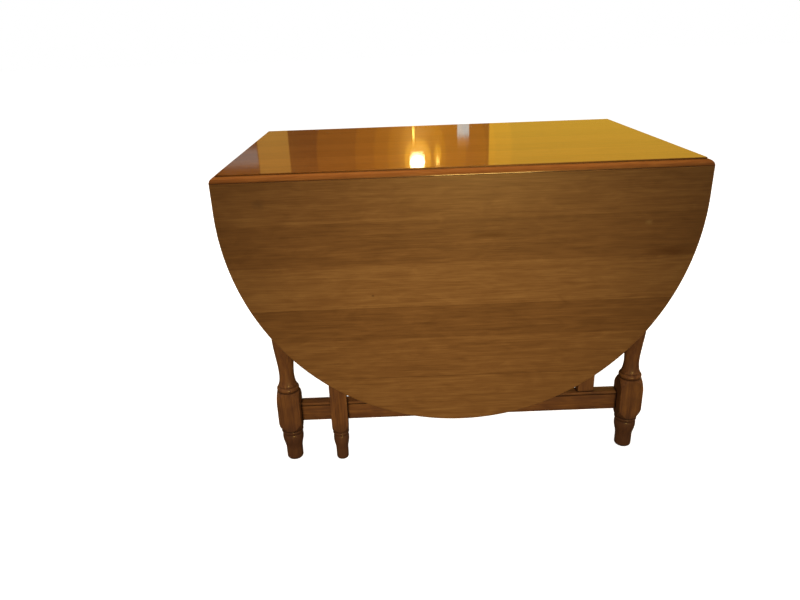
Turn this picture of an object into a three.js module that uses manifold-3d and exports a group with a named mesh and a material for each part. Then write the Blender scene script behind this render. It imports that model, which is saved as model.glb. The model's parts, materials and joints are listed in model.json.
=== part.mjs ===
// A gate-leg drop-leaf table in maple, standing with both leaves hanging.
//
// Millimetres, +Z up. The origin is on the floor under the middle of the top. X runs along the
// top's length and Y across it, with the front leaf on the -Y side.
//
// The table is the same turned half way round, so everything but the centre top is built once
// as a front half, and the rear half is that half again, turned by 180 degrees about Z.

import * as THREE from 'three';
import { mergeVertices } from 'three/addons/utils/BufferGeometryUtils.js';
import Module from 'manifold-3d';

const wasm = await Module();
wasm.setup();

// ---- driving dimensions ----

const TABLE_HEIGHT = 743;
const TOP_LENGTH = 1067;
const BOARD_THICKNESS = 19;
const EDGE_ROUND = 4;              // eased edge round the top and the leaves
const HINGE_LINE = 336;            // from the middle of the table to each hinge line

const RULE_FILLET = 3.2;           // small step at the top of the rule joint
const RULE_RADIUS = 12.7;          // rounded edge of the centre top
const RULE_GAP = 0.5;              // between the rounded edge and the leaf's hollow

const LEAF_STRAIGHT = 63.5;        // straight ends of a leaf, before its curve begins
const LEAF_CURVE = 535.4;          // how far the curve reaches past them

const LEG_SIZE = 55;
const LEG_X = 426;
const LEG_Y = 294;

const APRON_DEPTH = 100;
const APRON_THICKNESS = 20;
const STRETCHER_BOTTOM = 104;
const STRETCHER_HEIGHT = 50;
const STRETCHER_THICKNESS = 26;
const BEAD_RADIUS = 3.5;           // bead along the stretcher's top front edge
const QUIRK = 1.5;                 // the fine groove below that bead

const GATE_LEG_SIZE = 41;
const GATE_LEG_X = -302;
const GATE_LEG_Y = -306;
const GATE_PIVOT_X = 320;
const GATE_PIVOT_Y = -276;
const GATE_POST_WIDTH = 40;
const GATE_POST_DEPTH = 24;
const GATE_RAIL_THICKNESS = 18;
const GATE_UPPER_RAIL = [548, 608]; // bottom and top edges
const GATE_LOWER_RAIL = [196, 246];
const GATE_LEG_NOTCH = 11.5;       // from the gate leg's axis to the face that meets the stretcher
const GATE_LEG_REBATE = 17;        // and to the one that meets the apron
const NOTCH_ROOM = 1.5;            // above and below the stretcher
const REBATE_ROOM = 3;             // below the apron
const GATE_OPEN_ANGLE = THREE.MathUtils.degToRad(59);

const TENON_THICKNESS = 8;
const TENON_LENGTH = 20;
const GATE_TENON_LENGTH = 13;
const TENON_SHOULDER = 8;          // how much narrower than its rail a tenon is, at each edge

const PIVOT_RADIUS = 4;
const PIVOT_LENGTH = 40;
const PIVOT_CLEARANCE = 0.8;       // room above and below a gate post

const HINGE_PLACES = [-350, 0, 350];
const HINGE_WIDTH = 38;
const HINGE_THICKNESS = 1.5;
const KNUCKLE_RADIUS = 3;
const PIN_RADIUS = 1.3;
const FIXED_REACH = 32;            // from the pin to the end of the fixed plate
const SWINGING_REACH = 42;         // the swinging plate is longer, because it spans the joint
const SCREW_HOLE_RADIUS = 2;
const SCREW_HOLES = [[-12, 0.5], [0, 0.82], [12, 0.5]]; // across, and as a share of the reach
const TONGUE = [-2.9, -1.65];      // heights, from the pin, of the strip that joins plate to knuckle
const KNUCKLE_ROOM = 0.4;          // between a knuckle and the other plate
const RECESS_ROOM = 0.5;           // between a plate or knuckle and the wood round it

const CORNER_BLOCK = 60;
const CORNER_BLOCK_HEIGHT = 60;
const CORNER_BLOCK_TOE = 12;       // width of the block's two narrow ends
const STOP_BLOCK = [20, 60, 18];
const STOP_ROOM = 1;               // between the open gate's leg and the block

const GAP = 0.3;                   // between pieces that touch

// ---- sizes that follow ----

const UNDERSIDE = TABLE_HEIGHT - BOARD_THICKNESS;
const PIN_DEPTH = RULE_FILLET + RULE_RADIUS;
const PIN_Z = TABLE_HEIGHT - PIN_DEPTH;
const PIN_ABOVE_UNDERSIDE = PIN_Z - UNDERSIDE;
const HOLLOW_RADIUS = RULE_RADIUS + RULE_GAP;
const HALF_LENGTH = TOP_LENGTH / 2;
const LEG_INNER_X = LEG_X - LEG_SIZE / 2;
const LEG_INNER_Y = LEG_Y - LEG_SIZE / 2;
const APRON_BOTTOM = UNDERSIDE - APRON_DEPTH;
const STRETCHER_TOP = STRETCHER_BOTTOM + STRETCHER_HEIGHT;
const RAIL_REAR_Y = -LEG_INNER_Y;  // aprons and stretchers are flush with the legs' inner faces
const GATE_LENGTH = Math.hypot(GATE_PIVOT_X - GATE_LEG_X, GATE_PIVOT_Y - GATE_LEG_Y);
const GATE_CLOSED_ANGLE = Math.atan2(GATE_PIVOT_Y - GATE_LEG_Y, GATE_PIVOT_X - GATE_LEG_X);

// ---- finishes ----

const topMaple = () => new THREE.MeshStandardMaterial({ color: '#a5652a', roughness: 0.25, metalness: 0 });
const leafMaple = () => new THREE.MeshStandardMaterial({ color: '#7a5224', roughness: 0.35, metalness: 0 });
const legMaple = () => new THREE.MeshStandardMaterial({ color: '#5a3720', roughness: 0.4, metalness: 0 });
const plainWood = () => new THREE.MeshStandardMaterial({ color: '#a9814f', roughness: 0.8, metalness: 0 });
const brass = () => new THREE.MeshStandardMaterial({ color: '#8f7437', roughness: 0.4, metalness: 1 });
const steel = () => new THREE.MeshStandardMaterial({ color: '#8a8a88', roughness: 0.4, metalness: 1 });

// ---- solids ----

// A closed geometry as a solid that can be joined and cut.
function solidOf(geometry) {
  const bare = geometry.clone();
  for (const name of Object.keys(bare.attributes)) {
    if (name !== 'position') bare.deleteAttribute(name);
  }
  const merged = mergeVertices(bare, 1e-4);
  const corners = merged.index.array;
  const triangles = [];
  for (let i = 0; i < corners.length; i += 3) {
    const [a, b, c] = corners.slice(i, i + 3);
    if (a !== b && b !== c && c !== a) triangles.push(a, b, c);
  }
  const mesh = new wasm.Mesh({
    numProp: 3,
    vertProperties: new Float32Array(merged.attributes.position.array),
    triVerts: new Uint32Array(triangles),
  });
  return new wasm.Manifold(mesh);
}

function meshOf(name, solid, material) {
  const { vertProperties, triVerts } = solid.getMesh();
  const geometry = new THREE.BufferGeometry();
  geometry.setAttribute('position', new THREE.BufferAttribute(vertProperties, 3));
  geometry.setIndex(new THREE.BufferAttribute(triVerts, 1));
  geometry.computeVertexNormals();
  const mesh = new THREE.Mesh(geometry, material);
  mesh.name = name;
  return mesh;
}

// A box from its ranges along X, Y and Z, each given either way round.
function box(xs, ys, zs) {
  const sides = [xs, ys, zs];
  const geometry = new THREE.BoxGeometry(...sides.map(([a, b]) => Math.abs(b - a)));
  geometry.translate(...sides.map(([a, b]) => (a + b) / 2));
  return solidOf(geometry);
}

function cylinderAlongX(radius, from, to, sides) {
  const geometry = new THREE.CylinderGeometry(radius, radius, to - from, sides);
  geometry.rotateZ(Math.PI / 2);
  geometry.translate((from + to) / 2, 0, 0);
  return solidOf(geometry);
}

function cylinderAlongZ(radius, x, y, from, to, sides) {
  const geometry = new THREE.CylinderGeometry(radius, radius, to - from, sides);
  geometry.rotateX(Math.PI / 2);
  geometry.translate(x, y, (from + to) / 2);
  return solidOf(geometry);
}

// A shape drawn in the (Y, Z) plane and drawn out along X.
function extrudeAlongX(shape, from, to, curveSegments) {
  const geometry = new THREE.ExtrudeGeometry(shape, { depth: to - from, bevelEnabled: false, curveSegments });
  geometry.applyMatrix4(new THREE.Matrix4().makeBasis(
    new THREE.Vector3(0, 1, 0), new THREE.Vector3(0, 0, 1), new THREE.Vector3(1, 0, 0)));
  geometry.translate(from, 0, 0);
  return solidOf(geometry);
}

// A shape drawn in the (X, Z) plane and drawn out along Y, centred on Y = 0.
function extrudeAlongY(shape, width, curveSegments) {
  const geometry = new THREE.ExtrudeGeometry(shape, { depth: width, bevelEnabled: false, curveSegments });
  geometry.rotateX(Math.PI / 2);
  geometry.translate(0, width / 2, 0);
  return solidOf(geometry);
}

// ---- rule joint ----

// Half of the centre top's section: flat to the hinge line, the fillet, then the round, which
// runs on past the pin's height down to the underside.
const roundEnd = -Math.asin(PIN_ABOVE_UNDERSIDE / RULE_RADIUS);

function centreTop() {
  const section = new THREE.Shape();
  section.moveTo(-HINGE_LINE, TABLE_HEIGHT);
  section.lineTo(-HINGE_LINE, PIN_Z + RULE_RADIUS);
  section.absarc(-HINGE_LINE, PIN_Z, RULE_RADIUS, Math.PI / 2, Math.PI - roundEnd, false);
  section.lineTo(HINGE_LINE + RULE_RADIUS * Math.cos(roundEnd), UNDERSIDE);
  section.absarc(HINGE_LINE, PIN_Z, RULE_RADIUS, roundEnd, Math.PI / 2, false);
  section.lineTo(HINGE_LINE, TABLE_HEIGHT);

  const ends = new THREE.Shape();
  ends.moveTo(-HALF_LENGTH, UNDERSIDE);
  ends.lineTo(HALF_LENGTH, UNDERSIDE);
  ends.absarc(HALF_LENGTH - EDGE_ROUND, TABLE_HEIGHT - EDGE_ROUND, EDGE_ROUND, 0, Math.PI / 2, false);
  ends.absarc(-HALF_LENGTH + EDGE_ROUND, TABLE_HEIGHT - EDGE_ROUND, EDGE_ROUND, Math.PI / 2, Math.PI, false);

  let top = extrudeAlongX(section, -HALF_LENGTH, HALF_LENGTH, 5)
    .intersect(extrudeAlongY(ends, 3 * HINGE_LINE, 2));
  for (const side of [-1, 1]) {
    for (const x of HINGE_PLACES) {
      top = top.subtract(hingeRecess(x, side * HINGE_LINE, side));
    }
  }
  return top;
}

// The cut in the centre top for one hinge: a shallow bed for both plates, deeper at the knuckle.
function hingeRecess(x, y, side) {
  const across = [x - HINGE_WIDTH / 2 - RECESS_ROOM, x + HINGE_WIDTH / 2 + RECESS_ROOM];
  const room = KNUCKLE_RADIUS + RECESS_ROOM;
  const plates = box(across, [y - side * (FIXED_REACH + RECESS_ROOM), y + side * 2 * RULE_RADIUS],
    [UNDERSIDE - 1, UNDERSIDE + HINGE_THICKNESS + GAP]);
  const knuckle = box(across, [y - room, y + room], [UNDERSIDE - 1, PIN_Z + room]);
  return plates.add(knuckle);
}

// A leaf, built raised, with the pin's axis at the local origin and the leaf reaching towards -Y.
function raisedLeaf() {
  const outline = new THREE.Shape();
  outline.moveTo(HALF_LENGTH, RULE_RADIUS);
  outline.lineTo(-HALF_LENGTH, RULE_RADIUS);
  outline.lineTo(-HALF_LENGTH, -LEAF_STRAIGHT);
  outline.absellipse(0, -LEAF_STRAIGHT, HALF_LENGTH, LEAF_CURVE, Math.PI, 2 * Math.PI, false, 0);
  const geometry = new THREE.ExtrudeGeometry(outline, {
    depth: BOARD_THICKNESS - 2 * EDGE_ROUND,
    bevelThickness: EDGE_ROUND,
    bevelSize: EDGE_ROUND,
    bevelOffset: -EDGE_ROUND,
    bevelSegments: 2,
    curveSegments: 24,
  });
  geometry.translate(0, 0, EDGE_ROUND - PIN_ABOVE_UNDERSIDE);

  const wide = [-TOP_LENGTH, TOP_LENGTH];
  let leaf = solidOf(geometry)
    .subtract(cylinderAlongX(HOLLOW_RADIUS, -TOP_LENGTH, TOP_LENGTH, 48))
    .subtract(box(wide, [-HOLLOW_RADIUS, 2 * HOLLOW_RADIUS], [-BOARD_THICKNESS, 0]))
    .subtract(box(wide, [-RULE_GAP, 2 * HOLLOW_RADIUS], [-1, BOARD_THICKNESS]));
  for (const x of HINGE_PLACES) {
    leaf = leaf.subtract(box([x - HINGE_WIDTH / 2 - RECESS_ROOM, x + HINGE_WIDTH / 2 + RECESS_ROOM],
      [-SWINGING_REACH - RECESS_ROOM, 0],
      [-BOARD_THICKNESS, HINGE_THICKNESS + GAP - PIN_ABOVE_UNDERSIDE]));
  }
  return leaf;
}

// ---- hinges ----

// One plate of a hinge with its share of the three knuckles, the pin's axis at the local
// origin. reach is along Y, to the plate's far end.
function hingePlate(reach, knuckles) {
  const away = Math.sign(reach);
  const heights = [-PIN_ABOVE_UNDERSIDE, HINGE_THICKNESS - PIN_ABOVE_UNDERSIDE];
  const clear = KNUCKLE_RADIUS + KNUCKLE_ROOM;
  let plate = box([-HINGE_WIDTH / 2, HINGE_WIDTH / 2], [away * clear, reach], heights);
  for (const [from, to] of knuckles) {
    plate = plate
      .add(cylinderAlongX(KNUCKLE_RADIUS, from, to, 12))
      .add(box([from, to], [0, away * (clear + 1)], TONGUE));
  }
  plate = plate.subtract(cylinderAlongX(PIN_RADIUS + GAP, -HINGE_WIDTH, HINGE_WIDTH, 10));
  for (const [x, share] of SCREW_HOLES) {
    plate = plate.subtract(cylinderAlongZ(SCREW_HOLE_RADIUS, x, reach * share, -8, 8, 6));
  }
  return plate;
}

// ---- turned legs ----

// The profile of a turned leg, as radius against height, from the foot to the top. z names the
// heights. The two square blocks are where the profile is wider than the leg's square.
function turnedProfile(size, z) {
  const half = size / 2;
  const foot = 0.745 * half;
  const collar = 0.95 * half;
  const neck = 0.665 * half;
  const belly = 0.98 * half;
  const square = 1.46 * half;
  const path = new THREE.Path();
  path.moveTo(0, 0);
  path.lineTo(foot - 3.5, 0);
  path.quadraticCurveTo(foot, 0, foot, 5);
  path.lineTo(foot + 0.2, z.ankle);
  path.bezierCurveTo(foot, z.ankle + 14, collar, z.collar - 14, collar, z.collar);
  path.lineTo(0.9 * half, z.ring - 1.5);
  path.quadraticCurveTo(1.05 * half, z.ring + 4.5, 0.95 * half, z.ring + 9);
  path.quadraticCurveTo(1.25 * half, z.ring + 20, square, z.block);
  path.lineTo(square, z.blockEnd);
  path.quadraticCurveTo(1.33 * half, z.blockEnd + 20, 1.01 * half, z.bead - 2);
  path.lineTo(0.94 * half, z.bead);
  path.quadraticCurveTo(1.07 * half, z.bead + 7, 0.84 * half, z.bead + 13);
  path.quadraticCurveTo(0.68 * half, z.bead + 21, neck, z.neck);
  path.bezierCurveTo(neck, z.neck + 34, belly, z.belly - 40, belly, z.belly);
  path.bezierCurveTo(belly, z.belly + 55, neck, z.upperNeck - 60, neck, z.upperNeck);
  path.quadraticCurveTo(0.68 * half, z.upperBead - 21, 0.84 * half, z.upperBead - 13);
  path.quadraticCurveTo(1.07 * half, z.upperBead - 7, 0.94 * half, z.upperBead);
  path.lineTo(1.01 * half, z.upperBead + 2);
  path.quadraticCurveTo(1.33 * half, z.topBlock - 16, square, z.topBlock);
  path.lineTo(square, z.top);
  path.lineTo(0, z.top);
  return path.getPoints(3);
}

// A leg turned from a square: the turning, where it is inside the square.
function turnedLeg(size, z) {
  const geometry = new THREE.LatheGeometry(turnedProfile(size, z), 16);
  geometry.rotateX(Math.PI / 2);
  const half = size / 2;
  return solidOf(geometry).intersect(box([-half, half], [-half, half], [-1, z.top + 1]));
}

const LEG_HEIGHTS = {
  ankle: 29, collar: 65, ring: 77, block: 122, blockEnd: 163, bead: 198, neck: 240,
  belly: 350, upperNeck: 500, upperBead: 548, topBlock: 584, top: UNDERSIDE - GAP,
};
const GATE_LEG_HEIGHTS = {
  ankle: 27, collar: 60, ring: 73, block: 108, blockEnd: 262, bead: 291, neck: 325,
  belly: 400, upperNeck: 478, upperBead: 514, topBlock: 540, top: UNDERSIDE - 2 * GAP,
};

// ---- rails ----

// A rail's section, plain except for a bead and its quirk along the top front edge.
function beadedSection(rear, front, bottom, top) {
  const beadY = front + BEAD_RADIUS;
  const beadZ = top - BEAD_RADIUS;
  const section = new THREE.Shape();
  section.moveTo(rear, bottom);
  section.lineTo(rear, top);
  section.lineTo(beadY, top);
  section.absarc(beadY, beadZ, BEAD_RADIUS, Math.PI / 2, 1.25 * Math.PI, false);
  section.lineTo(front + QUIRK, beadZ - BEAD_RADIUS - QUIRK / 2);
  section.lineTo(front, beadZ - BEAD_RADIUS - QUIRK);
  section.lineTo(front, bottom);
  return section;
}

// A rail's tenon, or with room the mortise that it goes into.
function tenon(ends, centre, zs, room = 0) {
  const half = TENON_THICKNESS / 2 + room;
  const [near, far] = ends;
  const deep = far + Math.sign(far - near) * room;
  return box([near, deep], [centre - half, centre + half],
    [zs[0] + TENON_SHOULDER - room, zs[1] - TENON_SHOULDER + room]);
}

const APRON_Z = [APRON_BOTTOM, UNDERSIDE - GAP];
const STRETCHER_Z = [STRETCHER_BOTTOM, STRETCHER_TOP];
const LONG_APRON_Y = RAIL_REAR_Y - APRON_THICKNESS / 2;
const STRETCHER_Y = RAIL_REAR_Y - STRETCHER_THICKNESS / 2;

// ---- one half of the table ----

function halfTable(side) {
  const half = new THREE.Group();
  const hand = (x) => ((x < 0) === (side === 'front') ? 'left' : 'right');
  const rear = RAIL_REAR_Y;
  const railEnd = LEG_INNER_X - GAP;

  // legs, with a mortise for each rail, and the corner blocks beside them
  for (const s of [-1, 1]) {
    const corner = `${side}_${hand(s)}`;
    const inner = s * LEG_INNER_X;
    const toCentre = [inner - s * LEG_X, inner - s * (LEG_X - TENON_LENGTH - 1)];
    const leg = turnedLeg(LEG_SIZE, LEG_HEIGHTS)
      .subtract(tenon(toCentre, LONG_APRON_Y + LEG_Y, APRON_Z, GAP))
      .subtract(tenon(toCentre, STRETCHER_Y + LEG_Y, STRETCHER_Z, GAP))
      .subtract(box([-TENON_THICKNESS / 2 - GAP, TENON_THICKNESS / 2 + GAP],
        [LEG_SIZE / 2 + 1, LEG_SIZE / 2 - TENON_LENGTH - GAP],
        [APRON_Z[0] + TENON_SHOULDER - GAP, APRON_Z[1] - TENON_SHOULDER + GAP]));
    const legMesh = meshOf(`${corner}_leg`, leg, legMaple());
    legMesh.position.set(s * LEG_X, -LEG_Y, 0);
    half.add(legMesh);

    const wall = s * (LEG_X - APRON_THICKNESS / 2 - GAP);
    const wedge = new THREE.Shape();
    wedge.moveTo(wall, rear + GAP);
    wedge.lineTo(wall, rear + GAP + CORNER_BLOCK);
    wedge.lineTo(wall - s * CORNER_BLOCK_TOE, rear + GAP + CORNER_BLOCK);
    wedge.lineTo(wall - s * CORNER_BLOCK, rear + GAP + CORNER_BLOCK_TOE);
    wedge.lineTo(wall - s * CORNER_BLOCK, rear + GAP);
    const block = new THREE.ExtrudeGeometry(wedge, { depth: CORNER_BLOCK_HEIGHT, bevelEnabled: false });
    block.translate(0, 0, UNDERSIDE - GAP - CORNER_BLOCK_HEIGHT);
    half.add(meshOf(`${corner}_corner_block`, solidOf(block), plainWood()));
  }

  // long apron and stretcher, both tenoned into the legs
  const between = [-railEnd, railEnd];
  let apron = box(between, [rear, rear - APRON_THICKNESS], APRON_Z);
  const section = beadedSection(rear, rear - STRETCHER_THICKNESS, ...STRETCHER_Z);
  let stretcher = extrudeAlongX(section, ...between, 4);
  for (const s of [-1, 1]) {
    const reach = [s * (railEnd - 1), s * (railEnd + TENON_LENGTH)];
    apron = apron.add(tenon(reach, LONG_APRON_Y, APRON_Z));
    stretcher = stretcher.add(tenon(reach, STRETCHER_Y, STRETCHER_Z));
  }
  const pivotHole = (from, to) =>
    cylinderAlongZ(PIVOT_RADIUS + GAP, GATE_PIVOT_X, GATE_PIVOT_Y, from, to, 16);
  const upperPivot = [APRON_BOTTOM - PIVOT_LENGTH / 2, APRON_BOTTOM + PIVOT_LENGTH / 2];
  const lowerPivot = [STRETCHER_TOP - PIVOT_LENGTH / 2, STRETCHER_TOP + PIVOT_LENGTH / 2];
  apron = apron.subtract(pivotHole(upperPivot[0], upperPivot[1] + GAP));
  stretcher = stretcher.subtract(pivotHole(lowerPivot[0] - GAP, lowerPivot[1]));
  half.add(meshOf(`${side}_apron`, apron, legMaple()));
  half.add(meshOf(`${side}_stretcher`, stretcher, legMaple()));

  // the apron across the end of the table
  const endApron = box([-LEG_INNER_Y + GAP, LEG_INNER_Y - GAP],
    [-APRON_THICKNESS / 2, APRON_THICKNESS / 2], APRON_Z)
    .add(tenon([LEG_INNER_Y - 1, LEG_INNER_Y + TENON_LENGTH - GAP], 0, APRON_Z))
    .add(tenon([1 - LEG_INNER_Y, GAP - LEG_INNER_Y - TENON_LENGTH], 0, APRON_Z));
  const endMesh = meshOf(`${hand(1)}_apron`, endApron.rotate([0, 0, 90]), legMaple());
  endMesh.position.x = LEG_X;
  half.add(endMesh);

  // pins that the gate turns on, fixed in the apron and the stretcher
  for (const [name, [from, to]] of [['upper', upperPivot], ['lower', lowerPivot]]) {
    const pin = cylinderAlongZ(PIVOT_RADIUS, GATE_PIVOT_X, GATE_PIVOT_Y, from, to, 16);
    half.add(meshOf(`${side}_gate_${name}_pivot`, pin, steel()));
  }

  half.add(gate(side, upperPivot, lowerPivot));
  half.add(leaf(side));
  for (const [i, x] of HINGE_PLACES.entries()) {
    half.add(...fixedHinge(`${side}_hinge_${i + 1}`, x));
  }
  return half;
}

// The gate, built along local -X from its pivot, then turned to where it rests when closed.
function gate(side, upperPivot, lowerPivot) {
  const group = new THREE.Group();
  group.position.set(GATE_PIVOT_X, GATE_PIVOT_Y, 0);
  group.rotation.z = GATE_CLOSED_ANGLE;

  const postFace = -GATE_POST_WIDTH / 2;
  const legFace = -GATE_LENGTH + GATE_LEG_SIZE / 2;
  let post = box([-GATE_POST_WIDTH / 2, GATE_POST_WIDTH / 2], [-GATE_POST_DEPTH / 2, GATE_POST_DEPTH / 2],
    [STRETCHER_TOP + PIVOT_CLEARANCE, APRON_BOTTOM - PIVOT_CLEARANCE])
    .subtract(cylinderAlongZ(PIVOT_RADIUS + GAP, 0, 0, upperPivot[0] - GAP, upperPivot[1], 16))
    .subtract(cylinderAlongZ(PIVOT_RADIUS + GAP, 0, 0, lowerPivot[0], lowerPivot[1] + GAP, 16));
  let leg = turnedLeg(GATE_LEG_SIZE, GATE_LEG_HEIGHTS);

  for (const [name, zs] of [['upper', GATE_UPPER_RAIL], ['lower', GATE_LOWER_RAIL]]) {
    const y = GATE_RAIL_THICKNESS / 2;
    const rail = box([postFace - GAP, legFace + GAP], [-y, y], zs)
      .add(tenon([postFace - 1, postFace - GAP + GATE_TENON_LENGTH], 0, zs))
      .add(tenon([legFace + 1, legFace + GAP - GATE_TENON_LENGTH], 0, zs));
    group.add(meshOf(`${side}_gate_${name}_rail`, rail, legMaple()));
    post = post.subtract(tenon([postFace - 1, postFace + GATE_TENON_LENGTH], 0, zs, GAP));
    leg = leg.subtract(tenon([GATE_LEG_SIZE / 2 + 1, GATE_LEG_SIZE / 2 - GATE_TENON_LENGTH], 0, zs, GAP));
  }
  group.add(meshOf(`${side}_gate_post`, post, legMaple()));

  // notches in the back of the gate leg, to lie over the stretcher and against the apron
  const wide = [-GATE_LEG_SIZE, GATE_LEG_SIZE];
  leg = leg
    .subtract(box(wide, [GATE_LEG_NOTCH, GATE_LEG_SIZE],
      [STRETCHER_BOTTOM - NOTCH_ROOM, STRETCHER_TOP + NOTCH_ROOM]))
    .subtract(box(wide, [GATE_LEG_REBATE, GATE_LEG_SIZE], [APRON_BOTTOM - REBATE_ROOM, UNDERSIDE + 1]));
  const legMesh = meshOf(`${side}_gate_leg`, leg, legMaple());
  legMesh.position.x = -GATE_LENGTH;
  group.add(legMesh);
  return group;
}

// A leaf with its stop block and swinging hinge plates, built raised and turned down to hang.
function leaf(side) {
  const group = new THREE.Group();
  group.position.set(0, -HINGE_LINE, PIN_Z);
  group.rotation.x = Math.PI / 2;
  group.add(meshOf(`${side}_leaf`, raisedLeaf(), leafMaple()));

  const openAngle = GATE_CLOSED_ANGLE + GATE_OPEN_ANGLE;
  const past = (GATE_LEG_SIZE + STOP_BLOCK[0]) / 2 + STOP_ROOM;
  const stop = meshOf(`${side}_gate_stop`, solidOf(new THREE.BoxGeometry(...STOP_BLOCK)), plainWood());
  stop.position.set(
    GATE_PIVOT_X - GATE_LENGTH * Math.cos(openAngle) + past * Math.sin(openAngle),
    GATE_PIVOT_Y + HINGE_LINE - GATE_LENGTH * Math.sin(openAngle) - past * Math.cos(openAngle),
    -PIN_ABOVE_UNDERSIDE - GAP - STOP_BLOCK[2] / 2);
  stop.rotation.z = openAngle - Math.PI / 2;
  group.add(stop);

  for (const [i, x] of HINGE_PLACES.entries()) {
    const middle = HINGE_WIDTH / 6 - GAP / 2;
    const plate = meshOf(`${side}_hinge_${i + 1}_leaf_plate`,
      hingePlate(-SWINGING_REACH, [[-middle, middle]]), brass());
    plate.position.x = x;
    group.add(plate);
  }
  return group;
}

// The plate of a hinge that is fixed under the centre top, and its pin.
function fixedHinge(name, x) {
  const edge = HINGE_WIDTH / 2;
  const third = HINGE_WIDTH / 6 + GAP / 2;
  const knuckles = [[-edge, -third], [third, edge]];
  const plate = meshOf(`${name}_top_plate`, hingePlate(FIXED_REACH, knuckles), brass());
  const pin = meshOf(`${name}_pin`, cylinderAlongX(PIN_RADIUS, -edge, edge, 10), steel());
  for (const piece of [plate, pin]) piece.position.set(x, -HINGE_LINE, PIN_Z);
  return [plate, pin];
}

// ---- the table ----

const table = new THREE.Group();
table.add(meshOf('centre_top', centreTop(), topMaple()));
table.add(halfTable('front'));
const rearHalf = halfTable('rear');
rearHalf.rotation.z = Math.PI;
table.add(rearHalf);

export default table;
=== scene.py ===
# A gate-leg drop-leaf table in lacquered maple, standing with both leaves hanging.
#
# Metres, +Z up. The origin is on the floor under the middle of the top. X runs along the
# top's length and Y across it, with the front leaf on the -Y side. The table is the same
# when it is turned half way round.

import json
import math

import bmesh
import bpy
from mathutils import Matrix, Vector


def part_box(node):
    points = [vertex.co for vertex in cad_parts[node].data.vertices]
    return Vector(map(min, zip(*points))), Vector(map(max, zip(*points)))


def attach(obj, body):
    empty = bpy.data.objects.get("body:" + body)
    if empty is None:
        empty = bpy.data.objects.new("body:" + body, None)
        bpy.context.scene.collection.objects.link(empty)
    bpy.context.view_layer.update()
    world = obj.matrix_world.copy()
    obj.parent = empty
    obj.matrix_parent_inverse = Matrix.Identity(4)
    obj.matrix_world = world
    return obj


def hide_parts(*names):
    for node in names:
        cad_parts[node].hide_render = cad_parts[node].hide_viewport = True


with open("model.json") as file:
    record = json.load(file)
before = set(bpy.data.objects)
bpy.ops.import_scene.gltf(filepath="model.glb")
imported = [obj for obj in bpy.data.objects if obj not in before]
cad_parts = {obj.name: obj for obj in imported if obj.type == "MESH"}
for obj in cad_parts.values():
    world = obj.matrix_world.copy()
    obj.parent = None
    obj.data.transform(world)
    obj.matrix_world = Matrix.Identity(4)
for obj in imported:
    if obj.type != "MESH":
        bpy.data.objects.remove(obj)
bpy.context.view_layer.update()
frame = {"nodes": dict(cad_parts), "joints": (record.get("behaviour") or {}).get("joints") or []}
bpy.ops.object.select_all(action="DESELECT")


# ---- the four legs ----
# Each is turned on a lathe from a square of maple, which is left square where the rails and
# the stretchers come in. The edges of the square are rubbed down a little before staining.
# Glaze and painted shade lie darker in the turned grooves than on the swellings, and painted
# shade darkens the feet.

MM = 0.001
leg_low, leg_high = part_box("front_left_leg")
leg_half = (leg_high.x - leg_low.x) / 2
LEG_RUB = 0.9 * MM
LATHE_STEPS = 96
# heights of the turnings above the floor, in millimetres
LEG_HEIGHTS = dict(ankle=29, collar=65, ring=77, block=122, block_end=163, bead=198, neck=240,
                   belly=350, upper_neck=500, upper_bead=548, top_block=584)


def curve(controls, steps):
    """Points along the smooth curve that the control points pull, without the first one."""
    made = []
    for i in range(1, steps + 1):
        row = [Vector(c) for c in controls]
        while len(row) > 1:
            row = [a.lerp(b, i / steps) for a, b in zip(row, row[1:])]
        made.append(row[0])
    return made


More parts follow.
